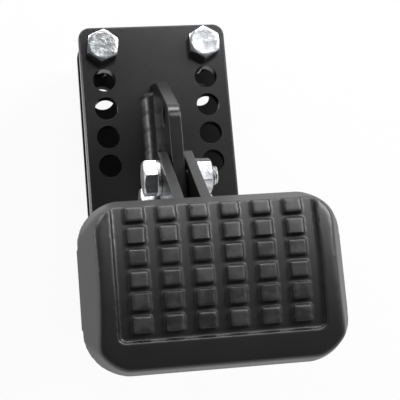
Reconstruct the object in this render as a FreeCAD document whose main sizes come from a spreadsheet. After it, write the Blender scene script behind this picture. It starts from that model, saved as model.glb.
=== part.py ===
import FreeCAD, Part
import math
import os
import Sketcher

# Brake pedal extension: a drilled clamp plate with a welded arm, and a tilting rubber pad on a bracket.
# The part lies on its back. X runs across the plate, Y up the plate, Z out of its face towards the pad.
# The origin is the middle of the front plate's rear face, where the vehicle's pedal seats.

Vector = FreeCAD.Vector
X_AXIS = Vector(1, 0, 0)
Y_AXIS = Vector(0, 1, 0)
Z_AXIS = Vector(0, 0, 1)
doc = FreeCAD.newDocument("brake_pedal_extension")
sheet = doc.addObject("Spreadsheet::Sheet", "dims")

SIZES = [
    # Front and rear plates
    ("plate_width", 65.0),
    ("plate_height", 109.2),
    ("plate_thick", 5.0),
    ("plate_corner", 5.0),
    ("plate_edge", 0.8),
    ("hole_dia", 10.0),
    ("column_gap", 45.0),
    ("bolt_row", 44.8),
    ("free_row", 30.3),
    ("row_pitch", 12.8),
    ("rear_thick", 5.0),
    ("rear_hole_dia", 11.0),
    ("rear_row_step", 15.5),
    ("rear_shift", 0.7),
    ("clamp_gap", 20.0),
    # Bolts, nuts and washers of one thread size
    ("bolt_dia", 8.0),
    ("hex_flats", 13.0),
    ("head_height", 5.3),
    ("nut_height", 6.5),
    ("nut_clear", 0.05),
    ("thread_past", 5.5),
    ("flange_dia", 16.0),
    ("flange_thick", 1.6),
    ("washer_thick", 1.6),
    ("washer_clear", 0.2),
    # Central arm
    ("lug_thick", 5.0),
    ("lug_root_top", 27.3),
    ("lug_shoulder_y", 23.3),
    ("lug_shoulder", 17.2),
    ("lug_root_low", 42.0),
    ("lug_knee_y", 4.5),
    ("lug_knee_round", 8.0),
    ("lug_reach", 46.5),
    ("lug_nose_y", 36.0),
    ("lug_nose_back", 10.0),
    ("lug_corner", 5.0),
    ("spare_dia", 8.5),
    ("spare_a_y", 4.0),
    ("spare_a_in", 13.5),
    ("spare_b_y", 9.0),
    ("spare_b_z", 18.0),
    ("weld_leg", 4.8),
    ("weld_short", 3.5),
    # Pivot and lock bolts
    ("pivot_y", 22.5),
    ("pivot_in", 7.5),
    ("lock_back", 16.0),
    ("lock_drop", 8.0),
    ("pivot_clear", 0.05),
    ("slot_clear", 0.35),
    ("slot_half_angle", 13.0),
    ("cross_washer_dia", 14.4),
    ("cross_past", 2.5),
    # Folded bracket
    ("ear_thick", 4.0),
    ("ear_side_gap", 0.5),
    ("ear_top_y", 10.5),
    ("ear_top_z", 42.0),
    ("ear_back_z", 18.5),
    ("ear_front_high", 13.5),
    ("ear_front_low", 14.5),
    ("ear_corner", 5.0),
    ("bracket_weld_leg", 3.0),
    # Pad
    ("pad_shift", 2.0),
    ("pad_grid_y", 65.5),
    ("pad_crest_z", 109.0),
    ("pad_thick", 14.0),
    ("pad_back_half", 46.5),
    ("pad_front_half", 40.5),
    ("pad_back_up", 25.4),
    ("pad_back_down", 34.8),
    ("pad_front_up", 20.0),
    ("pad_front_down", 33.0),
    ("pad_corner_back", 16.5),
    ("pad_corner_front", 9.5),
    ("corner_ease", 0.45),
    ("pad_crown", 130.0),
    ("recess_half", 35.2),
    ("recess_down", 24.1),
    ("recess_corner", 2.5),
    ("recess_deep", 1.6),
    ("block_proud", 0.3),
    ("block_wide", 6.0),
    ("block_tall", 5.4),
    ("block_pitch_x", 10.9),
    ("block_pitch_y", 7.45),
    ("insert_thick", 3.0),
    ("insert_margin", 5.0),
    ("insert_corner", 8.0),
    ("lip_thick", 2.0),
    ("lip_width", 4.0),
]

for number, (alias, value) in enumerate(SIZES, start=1):
    sheet.set("A%d" % number, alias)
    sheet.set("B%d" % number, "%g" % value)
    sheet.setAlias("B%d" % number, alias)
doc.recompute()

NAMES = {alias for alias, value in SIZES}


def d(text):
    """Turns bare size names in a formula into references to the sheet."""
    out = ""
    word = ""
    for char in text + " ":
        if char.isalnum() or char == "_":
            word += char
        else:
            out += ("dims." + word) if word in NAMES else word
            out += char
            word = ""
    return out.strip()


def val(text):
    """The present value of a formula."""
    return float(sheet.evalExpression(d(text)))


# Positions that several pieces share, each written once as a formula of the sizes
LOCK_Y = "(-pivot_y - lock_drop)"
PIVOT_Z = "(plate_thick + lug_reach - pivot_in)"
LOCK_Z = "(%s - lock_back)" % PIVOT_Z
LOCK_R = "sqrt(lock_back * lock_back + lock_drop * lock_drop)"
REAR_FACE = "(-clamp_gap)"
REAR_BACK = "(-clamp_gap - rear_thick)"
EAR_IN = "(lug_thick / 2 + ear_side_gap)"
EAR_OUT = "(lug_thick / 2 + ear_side_gap + ear_thick)"
FOOT_HIGH = "(pad_grid_y - ear_front_high)"
FOOT_LOW = "(pad_grid_y + ear_front_low)"
PAD_BACK = "(pad_crest_z - pad_thick)"
INSERT_BACK = "(pad_crest_z - pad_thick + lip_thick)"


def bind(obj, **formulas):
    """Binds properties to formulas; two underscores in a key stand for a dot."""
    for key, text in formulas.items():
        obj.setExpression(key.replace("__", "."), d(text))
    return obj


def plane(body, role):
    for item in body.Origin.OriginFeatures:
        if item.Role == role:
            return item
    raise ValueError(role)


def new_body(label):
    body = doc.addObject("PartDesign::Body", label)
    body.Label = label
    return body


def new_sketch(body, name, role, offset=None):
    sketch = body.newObject("Sketcher::SketchObject", name)
    sketch.AttachmentSupport = [(plane(body, role), "")]
    sketch.MapMode = "FlatFace"
    if offset is not None:
        sketch.setExpression("AttachmentOffset.Base.z", d(offset))
    doc.recompute()
    return sketch


def pin(sketch, geo, pos, x, y):
    """Holds a sketch point at a pair of formulas."""
    for kind, text, axis in (("DistanceX", x, -2), ("DistanceY", y, -1)):
        value = val(text)
        if abs(value) < 1e-9:
            sketch.addConstraint(Sketcher.Constraint("PointOnObject", geo, pos, axis))
            continue
        index = sketch.addConstraint(Sketcher.Constraint(kind, -1, 1, geo, pos, value))
        sketch.setExpression("Constraints[%d]" % index, d(text))


def polygon(sketch, points):
    """A closed outline whose corners are pairs of formulas."""
    xy = [Vector(val(x), val(y), 0) for x, y in points]
    first = len(sketch.Geometry)
    total = len(points)
    for i in range(total):
        sketch.addGeometry(Part.LineSegment(xy[i], xy[(i + 1) % total]), False)
    for i in range(total):
        sketch.addConstraint(Sketcher.Constraint("Coincident", first + i, 2, first + (i + 1) % total, 1))
    for i, (x, y) in enumerate(points):
        pin(sketch, first + i, 1, x, y)


def circle(sketch, x, y, dia):
    geo = sketch.addGeometry(Part.Circle(Vector(val(x), val(y), 0), Vector(0, 0, 1), val(dia) / 2), False)
    pin(sketch, geo, 3, x, y)
    index = sketch.addConstraint(Sketcher.Constraint("Diameter", geo, val(dia)))
    sketch.setExpression("Constraints[%d]" % index, d(dia))


def rectangle(sketch, x0, x1, y0, y1):
    polygon(sketch, [(x0, y0), (x1, y0), (x1, y1), (x0, y1)])


def extrude(body, sketch, name, length, reverse=False, both=False):
    pad = body.newObject("PartDesign::Pad", name)
    pad.Profile = sketch
    if both:
        pad.SideType = "Symmetric"
    pad.Reversed = reverse
    pad.setExpression("Length", d(length))
    doc.recompute()
    return pad


def pocket(body, sketch, name, length, both=True):
    cut = body.newObject("PartDesign::Pocket", name)
    cut.Profile = sketch
    if both:
        cut.SideType = "Symmetric"
    cut.setExpression("Length", d(length))
    doc.recompute()
    return cut


def edges_where(shape, test):
    return ["Edge%d" % (i + 1) for i, edge in enumerate(shape.Edges) if test(edge)]


def bevel_edges(body, feature, name, size, test):
    chamfer = body.newObject("PartDesign::Chamfer", name)
    chamfer.Base = (feature, edges_where(feature.Shape, test))
    chamfer.setExpression("Size", d(size))
    doc.recompute()
    return chamfer


def round_edges(body, feature, name, radius, test):
    names = edges_where(feature.Shape, test)
    fillet = body.newObject("PartDesign::Fillet", name)
    fillet.Base = (feature, names)
    fillet.setExpression("Radius", d(radius))
    doc.recompute()
    return fillet


def along(edge, axis):
    """Whether a straight edge runs along an axis."""
    if edge.Curve.TypeId != "Part::GeomLine":
        return False
    step = edge.Vertexes[-1].Point - edge.Vertexes[0].Point
    step.normalize()
    return abs(abs(step.dot(axis)) - 1) < 1e-6


def primitive(kind, name, **formulas):
    obj = doc.addObject(kind, name)
    return bind(obj, **formulas)


def combine(kind, name, shapes):
    obj = doc.addObject(kind, name)
    if kind == "Part::Cut":
        obj.Base, obj.Tool = shapes
    elif kind == "Part::Compound":
        obj.Links = shapes
    else:
        obj.Shapes = shapes
    return obj


nodes = []


# Front and rear plates
def clamp_plate(label, top, thick, rows, shift, drill):
    body = new_body(label)
    outline = new_sketch(body, label + "_outline", "XY_Plane", top)
    rectangle(outline, shift + " - plate_width / 2", shift + " + plate_width / 2",
              "-plate_height / 2", "plate_height / 2")
    slab = extrude(body, outline, label + "_slab", thick, reverse=True)
    round_edges(body, slab, label + "_corners", "plate_corner", lambda e: along(e, Z_AXIS))
    holes = new_sketch(body, label + "_holes", "XY_Plane", top)
    for row in rows:
        for side in ("-", "+"):
            circle(holes, shift + side + " column_gap / 2", row, drill)
    body.Tip = pocket(body, holes, label + "_drilled", "2 * " + thick + " + 2")
    nodes.append(body)
    return body


FRONT_ROWS = ["bolt_row", "free_row", "free_row - row_pitch", "free_row - 2 * row_pitch",
              "free_row - 3 * row_pitch", "-bolt_row"]
REAR_ROWS = ["bolt_row", "bolt_row - rear_row_step", "-bolt_row + rear_row_step", "-bolt_row"]
front = clamp_plate("front_plate", "plate_thick", "plate_thick", FRONT_ROWS, "0", "hole_dia")
in_face = lambda e: min(e.BoundBox.ZMin, e.BoundBox.ZMax) > val("plate_thick") - 1e-6
hole_rim = lambda e: e.Curve.TypeId == "Part::GeomCircle" and len(e.Vertexes) == 1
front.Tip = bevel_edges(front, front.Tip, "front_plate_rim", "plate_edge",
                        lambda e: in_face(e) and not hole_rim(e))
clamp_plate("rear_plate", REAR_FACE, "rear_thick", REAR_ROWS, "rear_shift", "rear_hole_dia")

# Central arm, cut from plate and welded upright on the front plate
lug = new_body("centre_lug")
profile = new_sketch(lug, "lug_profile", "YZ_Plane")
polygon(profile, [
    ("lug_root_top", "plate_thick"),
    ("lug_shoulder_y", "plate_thick + lug_shoulder"),
    ("lug_knee_y", "plate_thick + lug_reach"),
    ("-lug_nose_y", "plate_thick + lug_reach"),
    ("-lug_root_low", "plate_thick + lug_reach - lug_nose_back"),
    ("-lug_root_low", "plate_thick"),
])
lug_slab = extrude(lug, profile, "lug_slab", "lug_thick", both=True)
at_knee = lambda e: abs(e.BoundBox.YMin - val("lug_knee_y")) < 1e-6
above_root = lambda e: along(e, X_AXIS) and e.BoundBox.ZMin > val("plate_thick") + 1
lug_bend = round_edges(lug, lug_slab, "lug_bend", "lug_knee_round", lambda e: above_root(e) and at_knee(e))
corners = [val("lug_shoulder_y"), -val("lug_nose_y"), -val("lug_root_low")]
at_corner = lambda e: any(abs(e.BoundBox.YMin - y) < 1e-6 for y in corners)
lug_round = round_edges(lug, lug_bend, "lug_rounding", "lug_corner", lambda e: above_root(e) and at_corner(e))
bores = new_sketch(lug, "lug_bores", "YZ_Plane")
circle(bores, "-pivot_y", PIVOT_Z, "bolt_dia + 2 * pivot_clear")
circle(bores, "spare_a_y", "plate_thick + lug_reach - spare_a_in", "spare_dia")
circle(bores, "-spare_b_y", "spare_b_z", "spare_dia")
lug_bored = pocket(lug, bores, "lug_bored", "2 * lug_thick")
lug.Tip = lug_bored
doc.recompute()

# The lock bolt's arc slot, swept about the pivot
ring_out = primitive("Part::Cylinder", "slot_ring_out", Radius=LOCK_R + " + bolt_dia / 2 + slot_clear",
                     Height="2 * lug_thick", Angle="2 * slot_half_angle")
ring_in = primitive("Part::Cylinder", "slot_ring_in", Radius=LOCK_R + " - bolt_dia / 2 - slot_clear",
                    Height="2 * lug_thick")
slot_parts = []
for ring in (ring_out, ring_in):
    bind(ring, Placement__Base__x="-lug_thick", Placement__Base__y="-pivot_y", Placement__Base__z=PIVOT_Z)
facing = FreeCAD.Matrix(0, 0, 1, 0, 1, 0, 0, 0, 0, 1, 0, 0, 0, 0, 0, 1)
along_x = FreeCAD.Placement(facing).Rotation
begin = math.degrees(math.atan2(val("-lock_back"), val("-lock_drop"))) - val("slot_half_angle")
ring_out.Placement.Rotation = along_x.multiply(FreeCAD.Rotation(Z_AXIS, begin))
ring_in.Placement.Rotation = along_x
slot_parts.append(combine("Part::Cut", "slot_sector", [ring_out, ring_in]))
for sign in (-1, 1):
    turn_by = math.radians(sign * val("slot_half_angle"))
    c, s = math.cos(turn_by), math.sin(turn_by)
    end = primitive("Part::Cylinder", "slot_end_%d" % (sign + 1), Radius="bolt_dia / 2 + slot_clear",
                    Height="2 * lug_thick")
    end.Placement.Rotation = along_x
    sign_text = "-" if sign < 0 else ""
    bind(end, Placement__Base__x="-lug_thick",
         Placement__Base__y="-pivot_y - lock_drop * cos(%sslot_half_angle * 1deg)"
                            " + lock_back * sin(%sslot_half_angle * 1deg)" % (sign_text, sign_text),
         Placement__Base__z=PIVOT_Z + " - lock_drop * sin(%sslot_half_angle * 1deg)"
                            " - lock_back * cos(%sslot_half_angle * 1deg)" % (sign_text, sign_text))
    slot_parts.append(end)
slot = combine("Part::MultiFuse", "lock_slot", slot_parts)
lug_node = combine("Part::Cut", "centre_lug_cut", [lug, slot])
lug.Label = "lug_blank"
lug_node.Label = "centre_lug"
nodes.append(lug_node)

# Fillet welds down both sides of the arm's root
for label, sign in (("lug_weld_left", "-"), ("lug_weld_right", "")):
    body = new_body(label)
    seam = new_sketch(body, label + "_seam", "XZ_Plane", "lug_root_low - weld_short")
    side = sign + "(lug_thick / 2)"
    foot = sign + "(lug_thick / 2 + weld_leg)"
    polygon(seam, [(side, "plate_thick"), (foot, "plate_thick"), (side, "plate_thick + weld_leg")])
    bead = extrude(body, seam, label + "_bead", "lug_root_top + lug_root_low - 2 * weld_short", reverse=True)
    body.Tip = bead
    nodes.append(body)
doc.recompute()


# Hexagon bolts, nuts and washers, each made along +Z from its seat and then laid on its axis
def place(obj, spin, x, y, z):
    obj.Placement = FreeCAD.Placement(Vector(0, 0, 0), spin)
    return bind(obj, Placement__Base__x=x, Placement__Base__y=y, Placement__Base__z=z)


def prism(name, height, spin_deg):
    six = primitive("Part::Prism", name + "_hex", Circumradius="hex_flats / sqrt(3)", Height=height)
    six.Polygon = 6
    six.Placement = FreeCAD.Placement(Vector(0, 0, 0), FreeCAD.Rotation(Z_AXIS, spin_deg))
    return six


def turned_off(six, name, height):
    """A hexagon whose top corners are turned off by a cone."""
    cone = primitive("Part::Cone", name + "_bevel", Radius2="hex_flats * 0.475", Height=height)
    cone.setExpression("Radius1", d("hex_flats * 0.475 + (%s) * 1.732" % height))
    return combine("Part::MultiCommon", name + "_body", [six, cone])


def bolt(name, length, spin, x, y, z, spin_deg, turned=False):
    head = prism(name + "_head", "head_height", spin_deg)
    if turned:
        head = turned_off(head, name + "_head", "head_height")
    shank = primitive("Part::Cylinder", name + "_shank", Radius="bolt_dia / 2", Height=length)
    shank.setExpression("Placement.Base.z", d("-(%s)" % length))
    whole = combine("Part::MultiFuse", name, [head, shank])
    return place(whole, spin, x, y, z)


def nut(name, spin, x, y, z, spin_deg, flanged=False):
    block = prism(name + "_block", "nut_height", spin_deg)
    if flanged:
        flange = primitive("Part::Cylinder", name + "_flange", Radius="flange_dia / 2", Height="flange_thick")
        block = combine("Part::MultiFuse", name + "_flanged", [block, flange])
    bore = primitive("Part::Cylinder", name + "_bore", Radius="bolt_dia / 2 + nut_clear", Height="nut_height")
    return place(combine("Part::Cut", name, [block, bore]), spin, x, y, z)


def washer(name, dia, spin, x, y, z):
    disc = primitive("Part::Cylinder", name + "_disc", Radius=dia + " / 2", Height="washer_thick")
    bore = primitive("Part::Cylinder", name + "_bore", Radius="bolt_dia / 2 + washer_clear",
                     Height="washer_thick")
    return place(combine("Part::Cut", name, [disc, bore]), spin, x, y, z)


UP = FreeCAD.Rotation()
DOWN = FreeCAD.Rotation(X_AXIS, 180)
LEFT = FreeCAD.Rotation(Y_AXIS, -90)
RIGHT = FreeCAD.Rotation(Y_AXIS, 90)
CLAMP_LENGTH = "plate_thick + clamp_gap + rear_thick + nut_height + thread_past"

clamp_bolts, clamp_nuts = [], []
HEAD_TURN = [22.0, 30.0, 8.0, 41.0]
for index, (sx, sy) in enumerate((("-", ""), ("", ""), ("-", "-"), ("", "-"))):
    x, y = sx + "column_gap / 2", sy + "bolt_row"
    clamp_bolts.append(bolt("clamp_bolt_%d" % index, CLAMP_LENGTH, UP, x, y, "plate_thick", HEAD_TURN[index],
                            turned=True))
    clamp_nuts.append(nut("clamp_nut_%d" % index, DOWN, x, y, REAR_BACK, 30.0, flanged=True))
for label, members in (("clamp_bolts", clamp_bolts), ("clamp_nuts", clamp_nuts)):
    group = combine("Part::Compound", label, members)
    nodes.append(group)

CROSS_LENGTH = "2 * %s + washer_thick + nut_height + cross_past" % EAR_OUT
for stem, y, z, turned in (("pivot", "-pivot_y", PIVOT_Z, 0.0), ("lock", LOCK_Y, LOCK_Z, 0.0)):
    seat = "-%s - washer_thick" % EAR_OUT
    nodes.append(bolt(stem + "_bolt", CROSS_LENGTH, LEFT, seat, y, z, turned))
    nodes.append(washer(stem + "_washer", "cross_washer_dia", LEFT, "-" + EAR_OUT, y, z))
    nodes.append(nut(stem + "_nut", RIGHT, EAR_OUT, y, z, turned + 24.0))

# Folded bracket: two ears and the web that is welded to the pad's insert
bracket = new_body("pad_bracket")
side_view = new_sketch(bracket, "bracket_side", "YZ_Plane")
polygon(side_view, [
    ("-ear_top_y", "ear_top_z"),
    ("-pivot_y + ear_corner * 1.3", LOCK_Z),
    (LOCK_Y + " + ear_corner * 1.2", "ear_back_z"),
    (LOCK_Y + " - ear_corner * 1.2", "ear_back_z"),
    (LOCK_Y + " - ear_corner * 2.1", LOCK_Z),
    ("-" + FOOT_LOW, INSERT_BACK),
    ("-" + FOOT_HIGH, INSERT_BACK),
])
bracket_slab = extrude(bracket, side_view, "bracket_slab", "2 * " + EAR_OUT, both=True)
bracket_round = round_edges(bracket, bracket_slab, "bracket_rounding", "ear_corner",
                            lambda e: along(e, X_AXIS) and e.BoundBox.ZMin < val(INSERT_BACK) - 1)
fork = new_sketch(bracket, "bracket_fork", "YZ_Plane")
rectangle(fork, "-" + FOOT_LOW + " - 5", "5", "plate_thick", INSERT_BACK + " - ear_thick")
forked = pocket(bracket, fork, "bracket_forked", "2 * " + EAR_IN)
eyes = new_sketch(bracket, "bracket_eyes", "YZ_Plane")
circle(eyes, "-pivot_y", PIVOT_Z, "bolt_dia + 2 * pivot_clear")
circle(eyes, LOCK_Y, LOCK_Z, "bolt_dia + 2 * pivot_clear")
bracket.Tip = pocket(bracket, eyes, "bracket_drilled", "4 * " + EAR_OUT)
nodes.append(bracket)

# Welds between the bracket and the insert
for stem, sign, x in (("bracket_weld_left", "-", "-" + EAR_OUT), ("bracket_weld_right", "", EAR_OUT)):
    body = new_body(stem)
    seam = new_sketch(body, stem + "_seam", "XZ_Plane", FOOT_HIGH + " + 2")
    polygon(seam, [(x, INSERT_BACK), (x + (" - " if sign else " + ") + "bracket_weld_leg", INSERT_BACK),
                   (x, INSERT_BACK + " - bracket_weld_leg")])
    body.Tip = extrude(body, seam, stem + "_bead", "ear_front_high + ear_front_low - 6")
    nodes.append(body)
doc.recompute()


# Rubber cover, crowned towards the foot, with a recess that is open at its top
def tapered(name, front_half, front_up, front_down):
    """A block with the cover's back outline that tapers to the given front outline."""
    wedge = doc.addObject("Part::Wedge", name)
    bind(wedge, Xmin="-pad_back_half", Xmax="pad_back_half", X2min="-(%s)" % front_half, X2max=front_half,
         Ymin="0", Ymax="pad_thick", Zmin="-pad_back_up", Zmax="pad_back_down",
         Z2min="-(%s)" % front_up, Z2max=front_down)
    return place(wedge, FreeCAD.Rotation(X_AXIS, 90), "pad_shift", "-pad_grid_y", PAD_BACK)


def rounded_sides(base, name, radius, test):
    doc.recompute()
    fillet = doc.addObject("Part::Fillet", name)
    fillet.Base = base
    size = val(radius)
    fillet.Edges = [(i + 1, size, size) for i, edge in enumerate(base.Shape.Edges) if test(edge)]
    return fillet


def crown(name, drop):
    roll = primitive("Part::Cylinder", name, Radius="pad_crown - (%s)" % drop, Height="4 * pad_back_half")
    roll.Placement = FreeCAD.Placement(Vector(0, 0, 0), RIGHT)
    return bind(roll, Placement__Base__x="-2 * pad_back_half", Placement__Base__y="-pad_grid_y",
                Placement__Base__z="pad_crest_z - pad_crown")


rising = lambda e: e.BoundBox.ZLength > 1
front_block = tapered("cover_front_block", "pad_front_half", "pad_front_up", "pad_front_down")
front_round = rounded_sides(front_block, "cover_front_round", "pad_corner_front", rising)
EASED = "pad_back_%s - corner_ease * (pad_back_%s - pad_front_%s)"
back_block = tapered("cover_back_block", *(EASED % (end, end, end) for end in ("half", "up", "down")))
back_round = rounded_sides(back_block, "cover_back_round", "pad_corner_back", rising)
outside = combine("Part::MultiCommon", "cover_outside", [front_round, back_round])
crowned = combine("Part::MultiCommon", "cover_crowned", [outside, crown("cover_crown", "0")])
well = primitive("Part::Box", "recess_box", Length="2 * recess_half", Width="recess_down + pad_back_up + 5",
                 Height="pad_thick")
place(well, UP, "pad_shift - recess_half", "-pad_grid_y - recess_down", "pad_crest_z - pad_thick / 2")
well_round = rounded_sides(well, "recess_rounded", "recess_corner", lambda e: along(e, Z_AXIS))
well_tool = combine("Part::Cut", "recess_tool", [well_round, crown("recess_floor", "recess_deep")])
dished = combine("Part::Cut", "cover_dished", [crowned, well_tool])

blocks = []
for row in range(6):
    for column in range(6):
        name = "block_%d_%d" % (row, column)
        cube = primitive("Part::Box", name, Length="block_wide", Width="block_tall", Height="pad_thick * 0.6")
        across = "pad_shift + (%g) * block_pitch_x - block_wide / 2" % (column - 2.5)
        up = "-pad_grid_y + (%g) * block_pitch_y - block_tall / 2" % (2.5 - row)
        blocks.append(place(cube, UP, across, up, "pad_crest_z - pad_thick * 0.5"))
field = combine("Part::Compound", "block_field", blocks)
trimmed = combine("Part::MultiCommon", "block_trimmed", [field, crown("block_crown", "-block_proud")])
bounded = combine("Part::MultiCommon", "block_bounded", [trimmed, front_block])
treaded = combine("Part::MultiFuse", "cover_treaded", [dished, bounded])

# The steel insert sits in a pocket of the cover behind a lip
insert = new_body("pad_insert")
insert_outline = new_sketch(insert, "insert_outline", "XY_Plane", INSERT_BACK)
IN_X0 = "pad_shift - pad_back_half + insert_margin"
IN_X1 = "pad_shift + pad_back_half - insert_margin"
IN_Y0 = "-pad_grid_y - pad_back_down + insert_margin"
IN_Y1 = "-pad_grid_y + pad_back_up - insert_margin"
rectangle(insert_outline, IN_X0, IN_X1, IN_Y0, IN_Y1)
insert_slab = extrude(insert, insert_outline, "insert_slab", "insert_thick")
insert.Tip = round_edges(insert, insert_slab, "insert_corners", "insert_corner", lambda e: along(e, Z_AXIS))
nodes.append(insert)

mouth = primitive("Part::Box", "lip_mouth", Length="2 * (pad_back_half - insert_margin - lip_width)",
                  Width="pad_back_up + pad_back_down - 2 * (insert_margin + lip_width)",
                  Height="lip_thick", Placement__Base__x=IN_X0 + " + lip_width",
                  Placement__Base__y=IN_Y0 + " + lip_width", Placement__Base__z=PAD_BACK)
mouth_round = rounded_sides(mouth, "lip_mouth_round", "insert_corner - lip_width", lambda e: along(e, Z_AXIS))
hollow = combine("Part::MultiFuse", "cover_hollow", [insert, mouth_round])
cover = combine("Part::Cut", "pad_cover", [treaded, hollow])
nodes.append(cover)

doc.recompute()

for item in doc.Objects:
    if "Invalid" in item.State or "Error" in item.State:
        raise RuntimeError("not computed: " + item.Label)

os.makedirs("parts", exist_ok=True)
for node in nodes:
    shape = node.Shape
    if shape.isNull() or not shape.isValid():
        raise RuntimeError("bad shape: " + node.Label)
    shape.exportStep("parts/" + node.Label + ".step")
    box = shape.BoundBox
    print(node.Label, len(shape.Solids), round(shape.Volume, 1),
          [round(v, 2) for v in (box.XMin, box.XMax, box.YMin, box.YMax, box.ZMin, box.ZMax)])
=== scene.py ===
# %% [markdown]
# # A clamp-on brake pedal extension
# The part is made of black powder-coated plates, bright zinc bolts and a moulded rubber foot pad. The
# solids come from CAD, in metres, and already sit in their places. This lesson gives them soft edges,
# screw threads, weld ripples and finishes, then lights them and sets the camera where the photograph
# was taken.

import math

import bmesh
import bpy
from mathutils import Matrix, Vector


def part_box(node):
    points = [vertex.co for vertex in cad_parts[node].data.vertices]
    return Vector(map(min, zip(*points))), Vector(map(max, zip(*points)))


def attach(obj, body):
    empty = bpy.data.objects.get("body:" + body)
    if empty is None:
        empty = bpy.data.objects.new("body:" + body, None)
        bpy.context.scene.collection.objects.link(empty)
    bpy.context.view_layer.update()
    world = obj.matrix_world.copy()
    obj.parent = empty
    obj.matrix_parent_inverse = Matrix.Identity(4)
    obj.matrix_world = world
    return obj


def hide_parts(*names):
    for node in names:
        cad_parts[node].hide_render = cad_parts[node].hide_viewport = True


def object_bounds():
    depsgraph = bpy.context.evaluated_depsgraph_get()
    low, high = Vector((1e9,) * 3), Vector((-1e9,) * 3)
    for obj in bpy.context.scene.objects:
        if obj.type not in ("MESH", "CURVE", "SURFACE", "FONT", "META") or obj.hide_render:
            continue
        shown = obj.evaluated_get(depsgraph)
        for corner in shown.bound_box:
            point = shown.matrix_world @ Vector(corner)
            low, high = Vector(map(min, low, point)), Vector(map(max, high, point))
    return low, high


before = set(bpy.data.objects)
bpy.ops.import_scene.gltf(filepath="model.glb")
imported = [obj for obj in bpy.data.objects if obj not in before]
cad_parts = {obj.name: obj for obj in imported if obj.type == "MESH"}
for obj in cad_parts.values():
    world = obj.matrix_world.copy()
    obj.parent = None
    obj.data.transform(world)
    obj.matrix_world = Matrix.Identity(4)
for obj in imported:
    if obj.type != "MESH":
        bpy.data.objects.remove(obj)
cad_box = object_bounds()
MM = 0.001
print("solids:", len(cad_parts))

# %% [markdown]
# ## The camera
# The part lies on its back, so the camera looks down on it: almost along the plate's normal, a little
# from the left and from the pad's end. A picture of holes on a grid tells where a camera stood, so the
# eye and its turn are written here as three angles, a distance and a focal length in pixels of a
# 400 pixel frame.

# %% Set the camera
IMAGE_SIDE = 400
FOCAL_PIXELS = 1100.0
SENSOR_WIDTH = 36.0
AIM = Vector((0.0, 17.5, 5.0)) * MM
AIM_PIXEL = (157.7, 106.3)
DISTANCE = 482.3 * MM
SWING = math.radians(-9.8)
DIP = math.radians(-10.0)
ROLL = math.radians(-5.0)

back = Vector((math.sin(SWING) * math.cos(DIP), math.sin(DIP), math.cos(SWING) * math.cos(DIP)))
level = (-back).cross(Vector((0.0, 1.0, 0.0))).normalized()
upright = level.cross(-back)
right = level * math.cos(ROLL) + upright * math.sin(ROLL)
up = upright * math.cos(ROLL) - level * math.sin(ROLL)
slide_x = (AIM_PIXEL[0] - IMAGE_SIDE / 2) / FOCAL_PIXELS * DISTANCE
slide_y = (AIM_PIXEL[1] - IMAGE_SIDE / 2) / FOCAL_PIXELS * DISTANCE
eye = AIM + back * DISTANCE - right * slide_x + up * slide_y

camera_data = bpy.data.cameras.new("photo_camera")
camera_data.sensor_width = SENSOR_WIDTH
camera_data.lens = FOCAL_PIXELS / IMAGE_SIDE * SENSOR_WIDTH
camera_data.clip_start = 0.01
camera = bpy.data.objects.new("photo_camera", camera_data)
bpy.context.scene.collection.objects.link(camera)
turn = Matrix((right, up, back)).transposed().to_4x4()
camera.matrix_world = Matrix.Translation(eye) @ turn
bpy.context.scene.camera = camera
print("camera at", [round(v, 3) for v in eye])

# %% [markdown]
# ## Writing shaders as sums
# A finish is a small calculation: noise decides how rough the coat is, or how grey the zinc. The nodes
# could be placed by hand, but a class that wraps one socket lets the calculation be written as Python
# sums, and one method makes every other kind of node.

# %% A class for shader values
class Shade:
    """One output of a node. Sums on it add Math nodes to the same material."""

    def __init__(self, tree, socket):
        self.tree = tree
        self.socket = socket

    @staticmethod
    def feed(tree, socket, value):
        """Links a shader value to a socket, or sets a plain one on it."""
        if isinstance(value, Shade):
            tree.links.new(value.socket, socket)
        else:
            socket.default_value = value

    @classmethod
    def make(cls, tree, kind, out, settings, inputs):
        """Adds a node: its settings first, then its sockets; gives back the output called out."""
        node = tree.nodes.new(kind)
        for key, value in settings.items():
            setattr(node, key, value)
        for key, value in inputs.items():
            cls.feed(tree, node.inputs[key], value)
        return cls(tree, node.outputs[out])

    def also(self, out):
        """Another output of the same node."""
        return Shade(self.tree, self.socket.node.outputs[out])

    def sum(self, operation, first, second):
        return self.make(self.tree, "ShaderNodeMath", 0, {"operation": operation}, {0: first, 1: second})

    def __add__(self, other):
        return self.sum("ADD", self, other)

    def __radd__(self, other):
        return self.sum("ADD", other, self)

    def __sub__(self, other):
        return self.sum("SUBTRACT", self, other)

    def __rsub__(self, other):
        return self.sum("SUBTRACT", other, self)

    def __mul__(self, other):
        return self.sum("MULTIPLY", self, other)

    def __rmul__(self, other):
        return self.sum("MULTIPLY", other, self)

    def __truediv__(self, other):
        return self.sum("DIVIDE", self, other)

    def __rtruediv__(self, other):
        return self.sum("DIVIDE", other, self)


print("shader class ready")

# %% [markdown]
# A few nodes come up in every finish: cloudy noise, a soft step, a mix of two colours and a bump. Each
# gets a short name here, so that the finishes below read as recipes.

# %% Nodes that the finishes share
def new_finish(name):
    """An empty material, its node tree, its main shader and the place on the object in metres."""
    material = bpy.data.materials.new(name)
    material.use_nodes = True
    tree = material.node_tree
    shader = tree.nodes["Principled BSDF"]
    place = Shade.make(tree, "ShaderNodeTexCoord", "Object", {}, {})
    return material, tree, shader, place


def noise(tree, place, size, detail=3.0, rough=0.5):
    """Cloudy noise whose lumps are about size metres across."""
    sockets = {"Vector": place, "Scale": 1.0 / size, "Detail": detail, "Roughness": rough}
    return Shade.make(tree, "ShaderNodeTexNoise", "Fac", {}, sockets)


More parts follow.
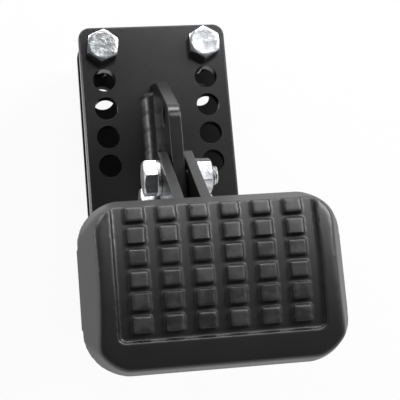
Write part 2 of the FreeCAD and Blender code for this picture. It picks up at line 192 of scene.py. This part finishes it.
def ramp(tree, value, low, high):
    """Nought below low, one above high, with an easy slope between."""
    sockets = {"Value": value, "From Min": low, "From Max": high}
    return Shade.make(tree, "ShaderNodeMapRange", "Result", {"interpolation_type": "SMOOTHSTEP"}, sockets)


def mixed_colour(tree, factor, low, high):
    """A colour between two others."""
    return Shade.make(tree, "ShaderNodeMix", 2, {"data_type": "RGBA"}, {0: factor, 6: low, 7: high})


def dent(tree, height, strength, distance):
    """A bump that feeds Normal."""
    sockets = {"Strength": strength, "Distance": distance, "Height": height}
    return Shade.make(tree, "ShaderNodeBump", "Normal", {}, sockets)


print("shared nodes: noise, ramp, mixed colour, dent")

# %% [markdown]
# ## Finishes
# The plates have a satin black powder coat: nearly black, with the fine dimpled skin that baked powder
# leaves. It could be one flat colour, but then broad faces would look like plastic, so colour and gloss
# drift slowly and a fine dimple sits on top. The plate behind has the same coat, but it is given a
# darker,
# duller copy: painted shade, so that the holes in front of it look dark.

# %% Powder coat
COAT_DRIFT = 22.0 * MM
COAT_DIMPLE = 1.1 * MM
COAT_GRAIN = 0.3 * MM


def powder_coat(name, dark, light, gloss, shine):
    """A black coat between two greys; gloss is its least roughness and shine its mirror strength."""
    material, tree, shader, place = new_finish(name)
    drift = noise(tree, place, COAT_DRIFT)
    dimple = noise(tree, place, COAT_DIMPLE, 2.0)
    grain = noise(tree, place, COAT_GRAIN, 1.0)
    shader.inputs["Specular IOR Level"].default_value = shine
    Shade.feed(tree, shader.inputs["Base Color"], mixed_colour(tree, drift, dark, light))
    Shade.feed(tree, shader.inputs["Roughness"], gloss + 0.05 * drift + 0.05 * grain)
    skin = dimple * 0.8 + grain * 0.2
    Shade.feed(tree, shader.inputs["Normal"], dent(tree, skin, 0.10, 0.3 * MM))
    return material


SATIN_DARK = (0.0110, 0.0110, 0.0112, 1)
SATIN_LIGHT = (0.0155, 0.0155, 0.0157, 1)
# Far darker greys and less shine for the rear plate: painted shade for the gap behind the holes.
REAR_SHADE_DARK = (0.0020, 0.0020, 0.0021, 1)
REAR_SHADE_LIGHT = (0.0035, 0.0035, 0.0036, 1)
COAT = powder_coat("satin_powder_coat", SATIN_DARK, SATIN_LIGHT, 0.19, 0.5)
SHADED_REAR_COAT = powder_coat("rear_coat_painted_shade", REAR_SHADE_DARK, REAR_SHADE_LIGHT, 0.60, 0.12)
print("finishes:", COAT.name, SHADED_REAR_COAT.name)

# %% [markdown]
# Zinc plating is a thin bright metal with a faint frosted bloom. Where a spanner or a bin of other bolts
# has rubbed it, the surface is dented and greyer, so one patchy noise moves the colour, the roughness
# and the dents together. One bolt of this set has lain longest in the bin, so the finish takes how worn
# it is.

# %% Zinc plating
ZINC_BLOOM = 3.2 * MM
ZINC_GRIT = 0.6 * MM


def zinc_plate(name, bright, dull, dents):
    """Plated steel between a bright and a dull grey, with dents of a given strength."""
    material, tree, shader, place = new_finish(name)
    bloom = noise(tree, place, ZINC_BLOOM, 4.0, 0.62)
    grit = noise(tree, place, ZINC_GRIT, 3.0)
    patch = ramp(tree, bloom, 0.36, 0.64)
    shader.inputs["Metallic"].default_value = 1.0
    Shade.feed(tree, shader.inputs["Base Color"], mixed_colour(tree, patch, dull, bright))
    Shade.feed(tree, shader.inputs["Roughness"], 0.36 - 0.12 * patch + 0.08 * grit)
    skin = bloom * 0.8 + grit * 0.2
    Shade.feed(tree, shader.inputs["Normal"], dent(tree, skin, dents, 0.9 * MM))
    return material


ZINC = zinc_plate("bright_zinc", (0.68, 0.69, 0.70, 1), (0.40, 0.41, 0.43, 1), 0.26)
WORN_ZINC = zinc_plate("worn_zinc", (0.60, 0.61, 0.62, 1), (0.28, 0.29, 0.30, 1), 0.42)
print("finishes:", ZINC.name, WORN_ZINC.name)

# %% [markdown]
# The pad is moulded rubber: black, semi-gloss where the mould was polished, with a slight bloom that
# comes and goes. Shoes rub the tops of its blocks grey, and the walls between are matt, as the mould's
# small pockets were never polished. Tops and walls are found by height: the pad's face is a crown,
# whose height falls away with the square of the distance from its middle line.

# %% Rubber
PAD_MIDDLE = (2.0 * MM, -65.5 * MM)
CREST = 109.0 * MM
CROWN = 130.0 * MM
FIELD_HALF = 34.0 * MM
FIELD_LOW = -23.5 * MM
FIELD_BLUR = 1e-5
TOPS = (-0.7 * MM, -0.1 * MM)
WALL_FOOT = (-1.58 * MM, -1.46 * MM)
WALL_BROW = (0.25 * MM, 0.55 * MM)
RUBBER_HAZE = 18.0 * MM
RUBBER_PORE = 0.6 * MM
RUBBED_PATCH = 5.0 * MM
RUBBER_DARK = (0.0060, 0.0060, 0.0062, 1)
RUBBER_LIGHT = (0.0100, 0.0100, 0.0102, 1)
RUBBED_GREY = (0.034, 0.034, 0.034, 1)


def moulded_rubber():
    """Black rubber with rubbed tops and matt walls in the field of blocks."""
    material, tree, shader, place = new_finish("moulded_rubber")
    haze = noise(tree, place, RUBBER_HAZE)
    pore = noise(tree, place, RUBBER_PORE, 2.0)
    rub = noise(tree, place, RUBBED_PATCH, 4.0, 0.62)
    x = Shade.make(tree, "ShaderNodeSeparateXYZ", "X", {}, {"Vector": place})
    across = x - PAD_MIDDLE[0]
    up = x.also("Y") - PAD_MIDDLE[1]
    above = x.also("Z") - (CREST - up * up / (2 * CROWN))
    between = ramp(tree, FIELD_HALF ** 2 - across * across, 0.0, FIELD_BLUR)
    field = between * ramp(tree, up, FIELD_LOW, FIELD_LOW + MM)
    scuff = field * ramp(tree, above, *TOPS) * ramp(tree, rub, 0.40, 0.66)
    wall = field * ramp(tree, above, *WALL_FOOT) * ramp(tree, 0 - above, *WALL_BROW)
    shader.inputs["Specular IOR Level"].default_value = 0.8
    clean = mixed_colour(tree, haze, RUBBER_DARK, RUBBER_LIGHT)
    Shade.feed(tree, shader.inputs["Base Color"], mixed_colour(tree, scuff, clean, RUBBED_GREY))
    rough = 0.36 + 0.08 * haze + 0.06 * pore + 0.06 * scuff + 0.34 * wall
    Shade.feed(tree, shader.inputs["Roughness"], rough)
    Shade.feed(tree, shader.inputs["Normal"], dent(tree, pore, 0.10, 0.2 * MM))
    return material


RUBBER = moulded_rubber()
print("finish:", RUBBER.name)

# %% [markdown]
# ## Soft edges on the plates
# Every piece is put into the scene in the same way: it gets its finish, rides on the body that carries
# it, and takes the place of the CAD solid that it dresses.

# %% Put a piece into the scene
def show(name, mesh, material, body, slot, *replaced):
    """Puts a mesh into the scene as a piece that rides on a body in place of CAD nodes."""
    mesh.materials.clear()
    mesh.materials.append(material)
    piece = bpy.data.objects.new(name, mesh)
    bpy.context.scene.collection.objects.link(piece)
    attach(piece, body)
    if replaced:
        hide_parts(*replaced)
    print("made", name, len(mesh.polygons), "faces")
    return piece


def smooth(mesh, degrees):
    """Smooth shading, but for edges that turn by more than some degrees."""
    for face in mesh.polygons:
        face.use_smooth = True
    mesh.set_sharp_from_angle(angle=math.radians(degrees))


print("pieces can be shown")

# %% [markdown]
# No punched or sawn plate has a knife edge, and the coat rounds it further. A bevel modifier would do on
# a clean model, but the CAD faces come in as triangles, so the flat ones are joined again first, and
# then a narrow bevel catches the light along every edge.

# %% Bevel the coated steel
FLAT_ANGLE = math.radians(1.0)
EDGE_ANGLE = math.radians(28)


def softened(node, width):
    """A copy of a CAD node's mesh with its flat faces joined and its edges bevelled."""
    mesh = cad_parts[node].data.copy()
    work = bmesh.new()
    work.from_mesh(mesh)
    bmesh.ops.remove_doubles(work, verts=work.verts, dist=1e-6)
    bmesh.ops.dissolve_limit(work, angle_limit=FLAT_ANGLE, verts=work.verts, edges=work.edges)
    edges = [e for e in work.edges if len(e.link_faces) == 2 and e.calc_face_angle(0.0) > EDGE_ANGLE]
    bmesh.ops.bevel(work, geom=edges, offset=width, offset_type="OFFSET", segments=2, profile=0.5,
                    affect="EDGES", clamp_overlap=True)
    work.to_mesh(mesh)
    work.free()
    smooth(mesh, 40)
    return mesh


def even(piece):
    """Lets broad faces set the shading normals, so that they look flat up to their bevels."""
    lean = piece.modifiers.new("even_shading", "WEIGHTED_NORMAL")
    lean.mode = "FACE_AREA"
    lean.weight = 100
    lean.keep_sharp = True


STEEL = {
    "front_plate": ("base", COAT, 0.4),
    # The rear plate's darker, duller coat is painted shade for the holes in front of it.
    "rear_plate": ("rear_clamp", SHADED_REAR_COAT, 0.4),
    "centre_lug": ("base", COAT, 0.5),
    "pad_bracket": ("pad_arm", COAT, 0.5),
    "pad_insert": ("pad_arm", COAT, 0.3),
}
for node, (body, coat, width) in STEEL.items():
    even(show(node + "_coated", softened(node, width * MM), coat, body, "black_steel", node))
for node in ("pivot_washer", "lock_washer"):
    even(show(node + "_plated", softened(node, 0.2 * MM), ZINC, "pad_arm", "zinc", node))

# %% [markdown]
# ## Weld beads
# A weld run is a row of overlapping puddles. It could be a bump on a plain fillet, but a bead is seen
# from the side too, so it is swept along the corner: its section is a bulging quarter round, and each
# puddle swells it a little and curves back at the toes.

# %% Sweep the beads
PUDDLE = 3.6 * MM
BEAD_STEPS = 180
BEAD_ACROSS = 9
END_LEGS = 0.6
PUDDLE_LAG = 0.35
BEAD_BULGE = 0.12


def bead_mesh(name, start, run, out, rise, leg):
    """A rippled fillet weld from start along run, between a foot along out and a wall along rise."""
    length = run.length
    along = run.normalized()
    normal = (out + rise).normalized()
    work = bmesh.new()
    rows = []
    for i in range(BEAD_STEPS + 1):
        s = length * i / BEAD_STEPS
        ends = min(1.0, s / (END_LEGS * leg), (length - s) / (END_LEGS * leg))
        taper = 0.25 + 0.75 * math.sqrt(max(0.0, 1 - (1 - ends) ** 2))
        jitter = 0.02 * math.sin(s / PUDDLE * 2.7 + 1.3) + 0.02 * math.sin(s / PUDDLE * 0.9)
        row = []
        for j in range(BEAD_ACROSS + 1):
            t = j / BEAD_ACROSS
            bow = math.sin(math.pi * t)
            lag = PUDDLE_LAG * PUDDLE * bow
            wave = 0.5 + 0.5 * math.cos(2 * math.pi * (s - lag) / PUDDLE)
            size = leg * taper * (0.995 + 0.005 * wave + jitter)
            bulge = BEAD_BULGE * leg * bow * taper * (0.96 + 0.04 * wave)
            flat = out * (size * (1 - t)) + rise * (size * t)
            row.append(work.verts.new(start + along * s + flat + normal * bulge))
        row.append(work.verts.new(start + along * s))
        rows.append(row)
    count = BEAD_ACROSS + 2
    for a, b in zip(rows, rows[1:]):
        for j in range(count):
            k = (j + 1) % count
            work.faces.new((a[j], a[k], b[k], b[j]))
    work.faces.new(rows[0])
    work.faces.new(list(reversed(rows[-1])))
    bmesh.ops.recalc_face_normals(work, faces=work.faces)
    mesh = bpy.data.meshes.new(name)
    work.to_mesh(mesh)
    work.free()
    smooth(mesh, 50)
    return mesh


OUT_X = Vector((1, 0, 0))
RISE_Z = Vector((0, 0, 1))
WELDS = {
    "lug_weld_left": ("base", -1, 1),
    "lug_weld_right": ("base", 1, 1),
    "bracket_weld_left": ("pad_arm", -1, -1),
    "bracket_weld_right": ("pad_arm", 1, -1),
}
for node, (body, side, rise) in WELDS.items():
    low, high = (Vector(corner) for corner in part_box(node))
    corner_x = low.x if side > 0 else high.x
    corner_z = low.z if rise > 0 else high.z
    begin = Vector((corner_x, low.y, corner_z))
    run = Vector((0, high.y - low.y, 0))
    bead = bead_mesh(node + "_bead", begin, run, OUT_X * side, RISE_Z * rise, high.x - low.x)
    show(node + "_bead", bead, COAT, body, "black_steel", node)

# %% [markdown]
# ## Bolts and nuts
# A hexagon head is a six-sided prism whose top corners are turned off by a cone, which leaves the curved
# line where the two meet. Cutting one mesh with another would find that line too, but working out its
# height at each angle gives it exactly, in rings that are easy to join.

# %% Hexagon heads
BOLT_R = 4.0 * MM
FLATS = 13.0 * MM
HEAD = 5.3 * MM
CONE = math.tan(math.radians(30))
FACE_R = 0.475 * FLATS
AROUND = 96


def turned_hexagon(turn_deg):
    """The radius of a hexagon at each angle, turned on its axis."""
    turn = math.radians(turn_deg)

    def radius(angle):
        part = (angle - turn + math.pi / 3) % (math.pi / 3) - math.pi / 6
        return FLATS / 2 / math.cos(part)

    return radius


def ring(work, radius, height):
    """A ring of points, given its radius at each angle and its height at each radius."""
    verts = []
    for i in range(AROUND):
        a = 2 * math.pi * i / AROUND
        r = radius(a)
        verts.append(work.verts.new((r * math.cos(a), r * math.sin(a), height(r))))
    return verts


def circle(work, radius, height):
    return ring(work, lambda angle: radius, lambda r: height)


def bridge(work, low, high):
    """Faces between two rings."""
    count = len(low)
    for i in range(count):
        k = (i + 1) % count
        work.faces.new((low[i], low[k], high[k], high[i]))


def head_part(work, height, turn_deg):
    """A bolt head that stands on z = 0, with a faint dish in its face."""
    shape = turned_hexagon(turn_deg)
    foot = ring(work, lambda a: shape(a) * 0.985, lambda r: 0.0)
    skirt = ring(work, shape, lambda r: 0.12 * MM)
    brow = ring(work, shape, lambda r: height - max(0.0, r - FACE_R) * CONE)
    face = circle(work, FACE_R - 0.1 * MM, height)
    dish = circle(work, FACE_R * 0.86, height - 0.05 * MM)
    bridge(work, foot, skirt)
    bridge(work, skirt, brow)
    bridge(work, brow, face)
    bridge(work, face, dish)
    work.faces.new(dish)
    work.faces.new(list(reversed(foot)))


print("head across flats, mm:", FLATS / MM)

# %% [markdown]
# A thread is one ridge that winds round the shank. A screw modifier could turn a profile, but here the
# shank is a stack of rings whose radius follows the ridge as it climbs, so the end can be chamfered in
# the same pass.

# %% Threads
PITCH = 1.25 * MM
THREAD_AROUND = 28
THREAD_ROWS = 6
THREAD_DEEP = 0.62 * MM
CREST_SHARE = 1.25
END_LONG = 0.9 * MM
END_SLOPE = 0.8


def thread_part(work, top, bottom):
    """A threaded rod along z, with a chamfered end at the bottom."""
    steps = int((top - bottom) / PITCH * THREAD_ROWS)
    rows = []
    for i in range(steps + 1):
        z = top - (top - bottom) * i / steps
        end = max(0.0, END_LONG - (z - bottom))
        row = []
        for j in range(THREAD_AROUND):
            a = 2 * math.pi * j / THREAD_AROUND
            phase = (z / PITCH - j / THREAD_AROUND) % 1.0
            ridge = 1 - abs(2 * phase - 1)
            depth = THREAD_DEEP * (1 - min(1.0, ridge * CREST_SHARE))
            r = min(BOLT_R - depth, BOLT_R - END_SLOPE * end)
            row.append(work.verts.new((r * math.cos(a), r * math.sin(a), z)))
        rows.append(row)
    for a, b in zip(rows, rows[1:]):
        bridge(work, b, a)
    work.faces.new(list(reversed(rows[-1])))
    work.faces.new(rows[0])


print("thread pitch, mm:", PITCH / MM)

# %% [markdown]
# A nut is the same hexagon, turned off on both faces and bored through. The clamp nuts stand on a flange
# that spreads their load, which is a disc with a rounded rim. Both are closed bands of rings.

# %% Nuts and flanges
NUT = 6.5 * MM
FLANGE_R = 8.0 * MM
FLANGE = 1.6 * MM
BORE_R = BOLT_R + 0.05 * MM
SINK_R = BOLT_R + 0.45 * MM
SINK_DEEP = 0.5 * MM
FLANGE_SOFT = 0.25 * MM


def close_band(work, rows):
    """Joins rings one to the next, and the last to the first."""
    for a, b in zip(rows, rows[1:] + rows[:1]):
        bridge(work, a, b)


def nut_part(work, height, turn_deg):
    """A nut that stands on z = 0 with both faces turned off by a cone and a countersunk bore."""
    shape = turned_hexagon(turn_deg)
    close_band(work, [
        circle(work, BORE_R, SINK_DEEP),
        circle(work, SINK_R, 0.0),
        circle(work, FACE_R, 0.0),
        ring(work, shape, lambda r: max(0.0, r - FACE_R) * CONE),
        ring(work, shape, lambda r: height - max(0.0, r - FACE_R) * CONE),
        circle(work, FACE_R, height),
        circle(work, SINK_R, height),
        circle(work, BORE_R, height - SINK_DEEP),
    ])


def flange_part(work, radius, height):
    """A flange disc under a nut, its rim rounded off, that stands on z = 0."""
    close_band(work, [
        circle(work, BORE_R, 0.0),
        circle(work, radius - FLANGE_SOFT, 0.0),
        circle(work, radius, FLANGE_SOFT),
        circle(work, radius, height - FLANGE_SOFT),
        circle(work, radius - FLANGE_SOFT, height),
        circle(work, BORE_R, height),
    ])


print("nut height, mm:", NUT / MM)

# %% [markdown]
# The clamp bolts go through both plates, and flange nuts hold them behind the rear plate. Each is built
# upright at the origin and then moved to its seat, because a round thing is simplest on its own axis.
# The worn bolt is at the top left.

# %% Seat the clamp bolts
def placed(parts, move):
    """Builds parts in their own frame, then moves them to their seat."""
    work = bmesh.new()
    for part, args in parts:
        part(work, *args)
    bmesh.ops.recalc_face_normals(work, faces=work.faces)
    bmesh.ops.transform(work, matrix=move, verts=work.verts)
    return work


def gather(name, works):
    """One mesh from several pieces of work."""
    whole = bmesh.new()
    for work in works:
        spare = bpy.data.meshes.new("spare")
        work.to_mesh(spare)
        work.free()
        whole.from_mesh(spare)
        bpy.data.meshes.remove(spare)
    mesh = bpy.data.meshes.new(name)
    whole.to_mesh(mesh)
    whole.free()
    smooth(mesh, 32)
    return mesh


COLUMN = 22.5 * MM
ROW = 44.8 * MM
FRONT_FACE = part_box("front_plate")[1][2]
BOLT_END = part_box("clamp_bolts")[0][2]
NUT_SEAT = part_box("clamp_nuts")[1][2]
HEAD_TURN = {(-1, 1): 22.0, (1, 1): 30.0, (-1, -1): 8.0, (1, -1): 41.0}
CLAMP_NUT_TURN = 30.0
UNDER = Matrix.Rotation(math.pi, 4, "X")
bolts, nuts = [], []
for (sx, sy), spin in HEAD_TURN.items():
    seat = Matrix.Translation((sx * COLUMN, sy * ROW, FRONT_FACE))
    bolts.append(placed([(head_part, (HEAD, spin)), (thread_part, (0.0, BOLT_END - FRONT_FACE))], seat))
    under = Matrix.Translation((sx * COLUMN, sy * ROW, NUT_SEAT)) @ UNDER
    nuts.append(placed([(nut_part, (NUT, CLAMP_NUT_TURN)), (flange_part, (FLANGE_R, FLANGE))], under))
worn_faces = len(bolts[0].faces)
bolt_mesh = gather("clamp_bolts_plated", bolts)
clamp_bolts = show("clamp_bolts_plated", bolt_mesh, ZINC, "base", "zinc", "clamp_bolts")
clamp_bolts.data.materials.append(WORN_ZINC)
for face in clamp_bolts.data.polygons[:worn_faces]:
    face.material_index = 1
nut_mesh = gather("clamp_nuts_plated", nuts)
show("clamp_nuts_plated", nut_mesh, ZINC, "rear_clamp", "zinc", "clamp_nuts")

# %% [markdown]
# The two cross bolts hold the pad's bracket on the arm: heads on the left, nuts on the right. They are
# the same parts, laid on their sides.

# %% Seat the cross bolts
TO_LEFT = Matrix.Rotation(math.radians(-90), 4, "Y")
TO_RIGHT = Matrix.Rotation(math.radians(90), 4, "Y")
CROSS = {"pivot": (-22.5 * MM, 44.0 * MM), "lock": (-30.5 * MM, 28.0 * MM)}
CROSS_HEAD_TURN = 0.0
CROSS_NUT_TURN = 24.0
for stem, (y, z) in CROSS.items():
    left_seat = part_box(stem + "_washer")[0][0]
    right_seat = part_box(stem + "_nut")[0][0]
    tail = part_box(stem + "_bolt")[1][0]
    move = Matrix.Translation((left_seat, y, z)) @ TO_LEFT
    work = placed([(head_part, (HEAD, CROSS_HEAD_TURN)), (thread_part, (0.0, left_seat - tail))], move)
    name = stem + "_bolt_plated"
    show(name, gather(name, [work]), ZINC, "pad_arm", "zinc", stem + "_bolt")
    move = Matrix.Translation((right_seat, y, z)) @ TO_RIGHT
    work = placed([(nut_part, (NUT, CROSS_NUT_TURN))], move)
    name = stem + "_nut_plated"
    show(name, gather(name, [work]), ZINC, "pad_arm", "zinc", stem + "_nut")

# %% [markdown]
# ## The rubber pad
# Moulded rubber has no sharp edge anywhere. Bevels would need clean edges round every block, so a fine
# remesh followed by a few rounds of smoothing softens every edge of the CAD solid by about the same
# small radius, as a mould maker's cutter does.

# %% Soften the rubber
VOXEL = 0.5 * MM
SOFT_ROUNDS = 3


def rubber_mesh(node):
    """A CAD node's mesh with an even skin and softened edges."""
    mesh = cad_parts[node].data.copy()
    holder = bpy.data.objects.new("rubber_work", mesh)
    bpy.context.scene.collection.objects.link(holder)
    remesh = holder.modifiers.new("skin", "REMESH")
    remesh.mode = "VOXEL"
    remesh.voxel_size = VOXEL
    relax = holder.modifiers.new("relax", "SMOOTH")
    relax.factor = 0.5
    relax.iterations = SOFT_ROUNDS
    graph = bpy.context.evaluated_depsgraph_get()
    result = bpy.data.meshes.new_from_object(holder.evaluated_get(graph))
    bpy.data.objects.remove(holder)
    return result


pad = rubber_mesh("pad_cover")
print("pad skin:", len(pad.vertices), "points")

# %% [markdown]
# The walls and the outer edge of the face have a larger round than the tread, so they get more rounds of
# smoothing. The tread and the pad's back edge are left alone.

# %% Round the outside
PAD_BACK = CREST - 14 * MM
BACK_KEPT = 3 * MM
OUTER_HALF = 37 * MM
OUTER_LOW = -27 * MM
OUTER_DROP = 2.2 * MM
OUTER_ROUNDS = 24


def on_outer_edge(point):
    """Whether a point of the pad lies on its walls or outer rim, clear of the back edge."""
    across = abs(point.x - PAD_MIDDLE[0])
    up = point.y - PAD_MIDDLE[1]
    below = CREST - up * up / (2 * CROWN) - point.z
    outside = across > OUTER_HALF or up < OUTER_LOW or below > OUTER_DROP
    return outside and point.z > PAD_BACK + BACK_KEPT


def round_outside(mesh):
    work = bmesh.new()
    work.from_mesh(mesh)
    outer = [v for v in work.verts if on_outer_edge(v.co)]
    for _ in range(OUTER_ROUNDS):
        bmesh.ops.smooth_vert(work, verts=outer, factor=0.5,
                              use_axis_x=True, use_axis_y=True, use_axis_z=True)
    work.to_mesh(mesh)
    work.free()
    for face in mesh.polygons:
        face.use_smooth = True
    print("rounded", len(outer), "points of the pad's outside")


round_outside(pad)
show("pad_cover_rubber", pad, RUBBER, "pad_arm", "rubber", "pad_cover")

# %% [markdown]
# ## Light and floor
# The main soft box stands on the right, so the arm throws its shadow to the left. One in front puts a
# gleam on the bolt heads, one above lights what faces up, a small low one on the left picks out the
# weld, and a weak one at the upper left gives the pad's corner its sheen.

# %% Light the part
CENTRE = Vector((0.0, -0.02, 0.04))


def soft_box(name, place, size, power):
    """A square lamp of some metres and watts that points at the part."""
    data = bpy.data.lights.new(name, "AREA")
    data.shape = "SQUARE"
    data.size = size
    data.energy = power
    lamp = bpy.data.objects.new(name, data)
    bpy.context.scene.collection.objects.link(lamp)
    lamp.location = place
    lamp.rotation_euler = (CENTRE - Vector(place)).to_track_quat("-Z", "Y").to_euler()


LAMPS = {
    "right": ((0.80, 0.51, 0.75), 0.5, 11.8),
    "front": ((0.25, 0.62, 0.98), 0.4, 2.3),
    "above": ((0.10, 1.05, 0.40), 0.4, 5.0),
    "left": ((-0.60, 0.12, 0.09), 0.14, 0.42),
    "corner": ((-0.50, 0.85, 0.42), 0.3, 4.0),
}
for name, (place, size, power) in LAMPS.items():
    soft_box(name, place, size, power)
print("lamps:", len(LAMPS))

# %% [markdown]
# The sky is dim, so that black looks black, with a pale band low down that meets the floor, as a paper
# sweep does. A bright sky all over would do for the backdrop too, but it would grey every plate.

# %% Sky
DIM = 0.12
PALE = 0.93
BAND = (0.24, 0.40)


def seen_rays(tree):
    """One for what the camera sees, straight or in a reflection, and nought for light on its way."""
    rays = Shade.make(tree, "ShaderNodeLightPath", "Is Camera Ray", {}, {})
    return rays + rays.also("Is Glossy Ray") + rays.also("Is Transmission Ray")


world = bpy.data.worlds.new("studio")
bpy.context.scene.world = world
world.use_nodes = True
sky = world.node_tree
background = sky.nodes["Background"]
background.inputs["Color"].default_value = (1, 1, 1, 1)
toward = Shade.make(sky, "ShaderNodeTexCoord", "Generated", {}, {})
height = Shade.make(sky, "ShaderNodeSeparateXYZ", "Z", {}, {"Vector": toward})
band = 1 - ramp(sky, height, *BAND)
Shade.feed(sky, background.inputs["Strength"], DIM + (PALE - DIM) * (seen_rays(sky) * band))
print("sky strength:", DIM, "to", PALE)

# %% [markdown]
# The floor is nearly white to the camera and to reflections. A little of a plain matt floor is mixed in,
# which keeps the part's faint shadow.

# %% Floor
REACH = 60.0
FLOOR_Z = cad_box[0][2]


def floor_finish():
    material = bpy.data.materials.new("white_floor")
    material.use_nodes = True
    tree = material.node_tree
    tree.nodes.remove(tree.nodes["Principled BSDF"])
    matt = Shade.make(tree, "ShaderNodeBsdfDiffuse", "BSDF", {}, {"Color": (0.85, 0.85, 0.85, 1)})
    white = {"Color": (1, 1, 1, 1), "Strength": 1.0}
    glow = Shade.make(tree, "ShaderNodeEmission", "Emission", {}, white)
    both = Shade.make(tree, "ShaderNodeMixShader", 0, {}, {0: seen_rays(tree) * PALE, 1: matt, 2: glow})
    Shade.feed(tree, tree.nodes["Material Output"].inputs["Surface"], both)
    return material


floor_mesh = bpy.data.meshes.new("floor")
corners = [(x * REACH, y * REACH, FLOOR_Z) for x, y in ((-1, -1), (1, -1), (1, 1), (-1, 1))]
floor_mesh.from_pydata(corners, [], [(0, 1, 2, 3)])
floor = bpy.data.objects.new("floor", floor_mesh)
bpy.context.scene.collection.objects.link(floor)
floor_mesh.materials.append(floor_finish())

bpy.context.scene.view_settings.view_transform = "Standard"
print("floor at", round(FLOOR_Z, 4))
